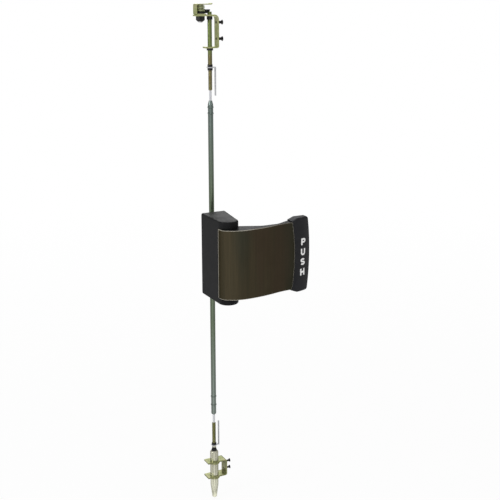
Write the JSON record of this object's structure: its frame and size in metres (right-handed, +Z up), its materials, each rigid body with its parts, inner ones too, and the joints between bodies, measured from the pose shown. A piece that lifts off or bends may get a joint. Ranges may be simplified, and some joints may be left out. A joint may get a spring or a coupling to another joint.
{
  "type": "paddle deadlatch",
  "caption": "Door-mounted push paddle that withdraws concealed vertical rods from a header latch above and a floor bolt below",
  "frame": {"origin": "Middle of the housing's back, where it meets the door face", "axes": "+Z up along the rods, +Y into the door, +X to the right along the door face as the paddle is seen"},
  "size_m": [0.1513, 0.1191, 0.7991],
  "materials": {
    "black_casting": "satin",
    "black_cap": "satin",
    "bronze_plate": "brushed",
    "zinc_steel": "satin",
    "pin_steel": "satin",
    "spring_steel": "satin",
    "rod_steel": "satin",
    "olive_stud": "satin",
    "yellow_zinc": "satin",
    "bright_clip": "satin",
    "pale_bolt": "satin",
    "dark_screw": "satin",
    "bush_plastic": "matte"
  },
  "bodies": {
    "door_set": {"housing": "black_casting", "back_plate": "zinc_steel", "back_plate_screws": "dark_screw", "pivot_pin": "pin_steel", "slide_guide_studs": "pin_steel", "case_spacers": "pin_steel", "actuator_case": "zinc_steel", "case_cover": "zinc_steel", "case_screws": "dark_screw", "top_rod_guide": "bush_plastic", "bottom_rod_guide": "bush_plastic", "top_bracket": "yellow_zinc", "top_bracket_screws": "dark_screw", "guide_bush": "bush_plastic", "latch_cage": "yellow_zinc", "latch_post": "pin_steel", "lock_nut": "yellow_zinc", "bottom_bracket": "yellow_zinc", "upper_bolt_bush": "yellow_zinc", "lower_bolt_bush": "yellow_zinc", "bottom_bracket_screws": "dark_screw", "return_spring": "spring_steel", "dog_spring": "spring_steel"},
    "paddle": {"paddle_body": "black_casting", "face_plate": "bronze_plate", "end_cap": "black_cap", "end_cap_screws": "dark_screw", "upper_hub_bush": "bush_plastic", "lower_hub_bush": "bush_plastic", "drive_arm": "zinc_steel", "arm_dowel": "pin_steel"},
    "slide": {"transfer_slide": "zinc_steel"},
    "top_rod": {"top_carrier": "zinc_steel", "top_cam_pin": "pin_steel", "top_tube_pin": "pin_steel", "top_rod_tube": "rod_steel", "top_coupling_stud": "pin_steel", "top_adjusting_stud": "olive_stud", "top_jam_nuts": "yellow_zinc", "top_lock_clip": "bright_clip", "latch_rod": "rod_steel", "stop_collar": "yellow_zinc"},
    "bottom_rod": {"bottom_carrier": "zinc_steel", "bottom_cam_pin": "pin_steel", "bottom_tube_pin": "pin_steel", "bottom_rod_tube": "rod_steel", "bottom_coupling_stud": "pin_steel", "bottom_adjusting_stud": "olive_stud", "bottom_jam_nut": "yellow_zinc", "bottom_lock_clip": "bright_clip", "bottom_washer": "pale_bolt", "neck_nut": "dark_screw", "bottom_bolt": "pale_bolt"},
    "dog": {"latch_dog": "dark_screw"}
  },
  "joints": [
    {"name": "paddle_swing", "type": "hinge", "parent": "door_set", "child": "paddle", "pos_m": [-0.0045, -0.06, 0], "axis": [0, 0, 1], "range_deg": [0, 12], "stiffness_Nm_per_rad": 2, "deforming": ["return_spring"]},
    {"name": "slide_travel", "type": "slide", "parent": "door_set", "child": "slide", "axis": [-1, 0, 0], "range_m": [0, 0.0117]},
    {"name": "top_rod_travel", "type": "slide", "parent": "door_set", "child": "top_rod", "axis": [0, 0, -1], "range_m": [0, 0.01205]},
    {"name": "bottom_rod_travel", "type": "slide", "parent": "door_set", "child": "bottom_rod", "axis": [0, 0, 1], "range_m": [0, 0.01205]},
    {"name": "dog_swing", "type": "hinge", "parent": "door_set", "child": "dog", "pos_m": [-0.0063, 0.022, 0.356], "axis": [0, 0, 1], "range_deg": [0, 40], "stiffness_Nm_per_rad": 0.05, "deforming": ["dog_spring"]}
  ],
  "couplings": [
    {"joint": "slide_travel", "follows": "paddle_swing", "m_per_rad": 0.055},
    {"joint": "top_rod_travel", "follows": "paddle_swing", "m_per_rad": 0.0573},
    {"joint": "bottom_rod_travel", "follows": "paddle_swing", "m_per_rad": 0.0573}
  ]
}
